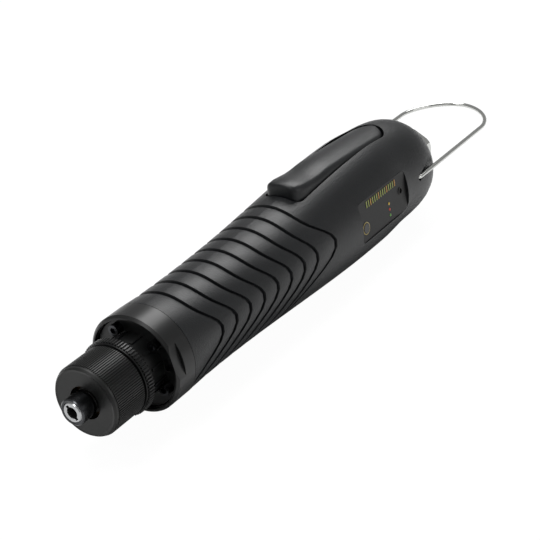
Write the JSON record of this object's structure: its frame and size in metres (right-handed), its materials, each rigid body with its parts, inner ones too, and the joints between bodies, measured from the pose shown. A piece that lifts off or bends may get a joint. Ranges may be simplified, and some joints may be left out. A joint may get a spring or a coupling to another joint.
{
  "type": "electric torque screwdriver",
  "caption": "Pencil-style electric torque screwdriver with a knurled torque knob, grooved grip, long start lever, side torque panel, wire hanging bail and rear cable socket.",
  "frame": {"origin": "centre of the bit chuck's mouth, on the tool's axis", "axes": "+X along the tool towards the cable end, +Z towards the start lever, -Y towards the panel"},
  "size_m": [0.3477, 0.0529, 0.0592],
  "materials": {
    "housing_black": "fine textured black moulding",
    "lever_black": "fine textured black moulding",
    "knob_black": "matte black, knurled",
    "anodised_black": "satin black anodised aluminium",
    "black_oxide": "black oxide steel",
    "chrome": "bright plated",
    "steel": "machined steel",
    "spring_steel": "drawn spring wire",
    "bronze": "sintered bronze",
    "copper": "enamelled copper wire",
    "board_green": "solder mask",
    "switch_black": "smooth black",
    "switch_red": "smooth red",
    "panel_film": "smooth dark film",
    "strip_green": "unlit display strips",
    "lamp_amber": "lamp lens"
  },
  "bodies": {
    "housing": {"nose_flange": "anodised_black", "nose_bush": "bronze", "clutch_spring": "spring_steel", "gear_case": "anodised_black", "ring_gear": "steel", "flange_screws": "black_oxide", "front_collar": "anodised_black", "housing_left": "housing_black", "housing_right": "housing_black", "housing_screws": "black_oxide", "motor_can": "steel", "motor_front_cap": "steel", "motor_rear_cap": "steel", "motor_bearings": "steel", "stator_core": "steel", "stator_coils": "copper", "lever_pin": "steel", "lever_spring": "spring_steel", "start_switch": "switch_black", "control_board": "board_green", "board_parts": "switch_black", "panel_plate": "panel_film", "torque_strips": "strip_green", "status_lamps": "lamp_amber", "socket_washer": "chrome", "socket_nut": "chrome", "socket_shell": "chrome", "socket_insert": "switch_black"},
    "rotor": {"rotor_magnet": "steel", "motor_shaft": "steel", "sun_gear": "bronze"},
    "spindle": {"output_spindle": "steel", "bit_chuck": "chrome", "sleeve_spring": "spring_steel", "planet_carrier": "steel", "clutch_balls": "chrome"},
    "clutch": {"clutch_disc": "steel", "thrust_washer": "steel"},
    "planet_1": {"planet_gear_1": "steel"},
    "planet_2": {"planet_gear_2": "steel"},
    "planet_3": {"planet_gear_3": "steel"},
    "sleeve": {"bit_sleeve": "black_oxide"},
    "knob": {"torque_knob": "knob_black"},
    "lock": {"lock_ring": "anodised_black"},
    "seat": {"spring_seat": "steel"},
    "lever": {"start_lever": "lever_black"},
    "plunger": {"switch_plunger": "switch_red"},
    "set_key": {"set_button": "switch_black"},
    "recessed_key": {"recessed_button": "switch_black"},
    "bail": {"hanging_bail": "chrome"}
  },
  "joints": [
    {"name": "rotor_spin", "type": "hinge", "parent": "housing", "child": "rotor", "pos_m": [0.09, 0, 0], "axis": [1, 0, 0], "continuous": true},
    {"name": "spindle_spin", "type": "hinge", "parent": "housing", "child": "spindle", "pos_m": [0.04, 0, 0], "axis": [1, 0, 0], "continuous": true},
    {"name": "planet_1_spin", "type": "hinge", "parent": "spindle", "child": "planet_1", "pos_m": [0.06, 0, 0.009], "axis": [1, 0, 0], "continuous": true},
    {"name": "planet_2_spin", "type": "hinge", "parent": "spindle", "child": "planet_2", "pos_m": [0.06, -0.00779, -0.0045], "axis": [1, 0, 0], "continuous": true},
    {"name": "planet_3_spin", "type": "hinge", "parent": "spindle", "child": "planet_3", "pos_m": [0.06, 0.00779, -0.0045], "axis": [1, 0, 0], "continuous": true},
    {"name": "clutch_trip", "type": "slide", "parent": "spindle", "child": "clutch", "axis": [-1, 0, 0], "range_m": [0, 0.0008], "stiffness_N_per_m": 4000, "springref_m": -0.002},
    {"name": "sleeve_pull", "type": "slide", "parent": "spindle", "child": "sleeve", "axis": [1, 0, 0], "range_m": [0, 0.0025], "stiffness_N_per_m": 600, "springref_m": -0.001, "deforming": ["sleeve_spring"]},
    {"name": "torque_turn", "type": "hinge", "parent": "housing", "child": "knob", "pos_m": [0.016, 0, 0], "axis": [1, 0, 0], "range_deg": [0, 1800]},
    {"name": "seat_slide", "type": "slide", "parent": "housing", "child": "seat", "axis": [1, 0, 0], "range_m": [0, 0.005], "deforming": ["clutch_spring"]},
    {"name": "lock_turn", "type": "hinge", "parent": "housing", "child": "lock", "pos_m": [0.029, 0, 0], "axis": [1, 0, 0], "range_deg": [0, 90]},
    {"name": "lever_press", "type": "hinge", "parent": "housing", "child": "lever", "pos_m": [0.2379, 0, 0.0185], "axis": [0, -1, 0], "range_deg": [0, 1.8], "stiffness_Nm_per_rad": 1.5, "springref_deg": -5.73, "deforming": ["lever_spring"]},
    {"name": "plunger_slide", "type": "slide", "parent": "housing", "child": "plunger", "axis": [0, 0, -1], "range_m": [0, 0.00105]},
    {"name": "set_press", "type": "slide", "parent": "housing", "child": "set_key", "axis": [0, 0.9945, -0.1045], "range_m": [0, 0.0006], "stiffness_N_per_m": 300, "springref_m": -0.001},
    {"name": "recessed_press", "type": "slide", "parent": "housing", "child": "recessed_key", "axis": [0, 0.9945, -0.1045], "range_m": [0, 0.0006], "stiffness_N_per_m": 300, "springref_m": -0.001},
    {"name": "bail_swing", "type": "hinge", "parent": "housing", "child": "bail", "pos_m": [0.2459, 0, 0.0037], "axis": [0, -1, 0], "range_deg": [0, 14]}
  ],
  "couplings": [
    {"joint": "spindle_spin", "follows": "rotor_spin", "ratio": 0.2},
    {"joint": "planet_1_spin", "follows": "rotor_spin", "ratio": -0.53333},
    {"joint": "planet_2_spin", "follows": "rotor_spin", "ratio": -0.53333},
    {"joint": "planet_3_spin", "follows": "rotor_spin", "ratio": -0.53333},
    {"joint": "seat_slide", "follows": "torque_turn", "m_per_rad": 0.00015915},
    {"joint": "plunger_slide", "follows": "lever_press", "m_per_rad": 0.033}
  ]
}
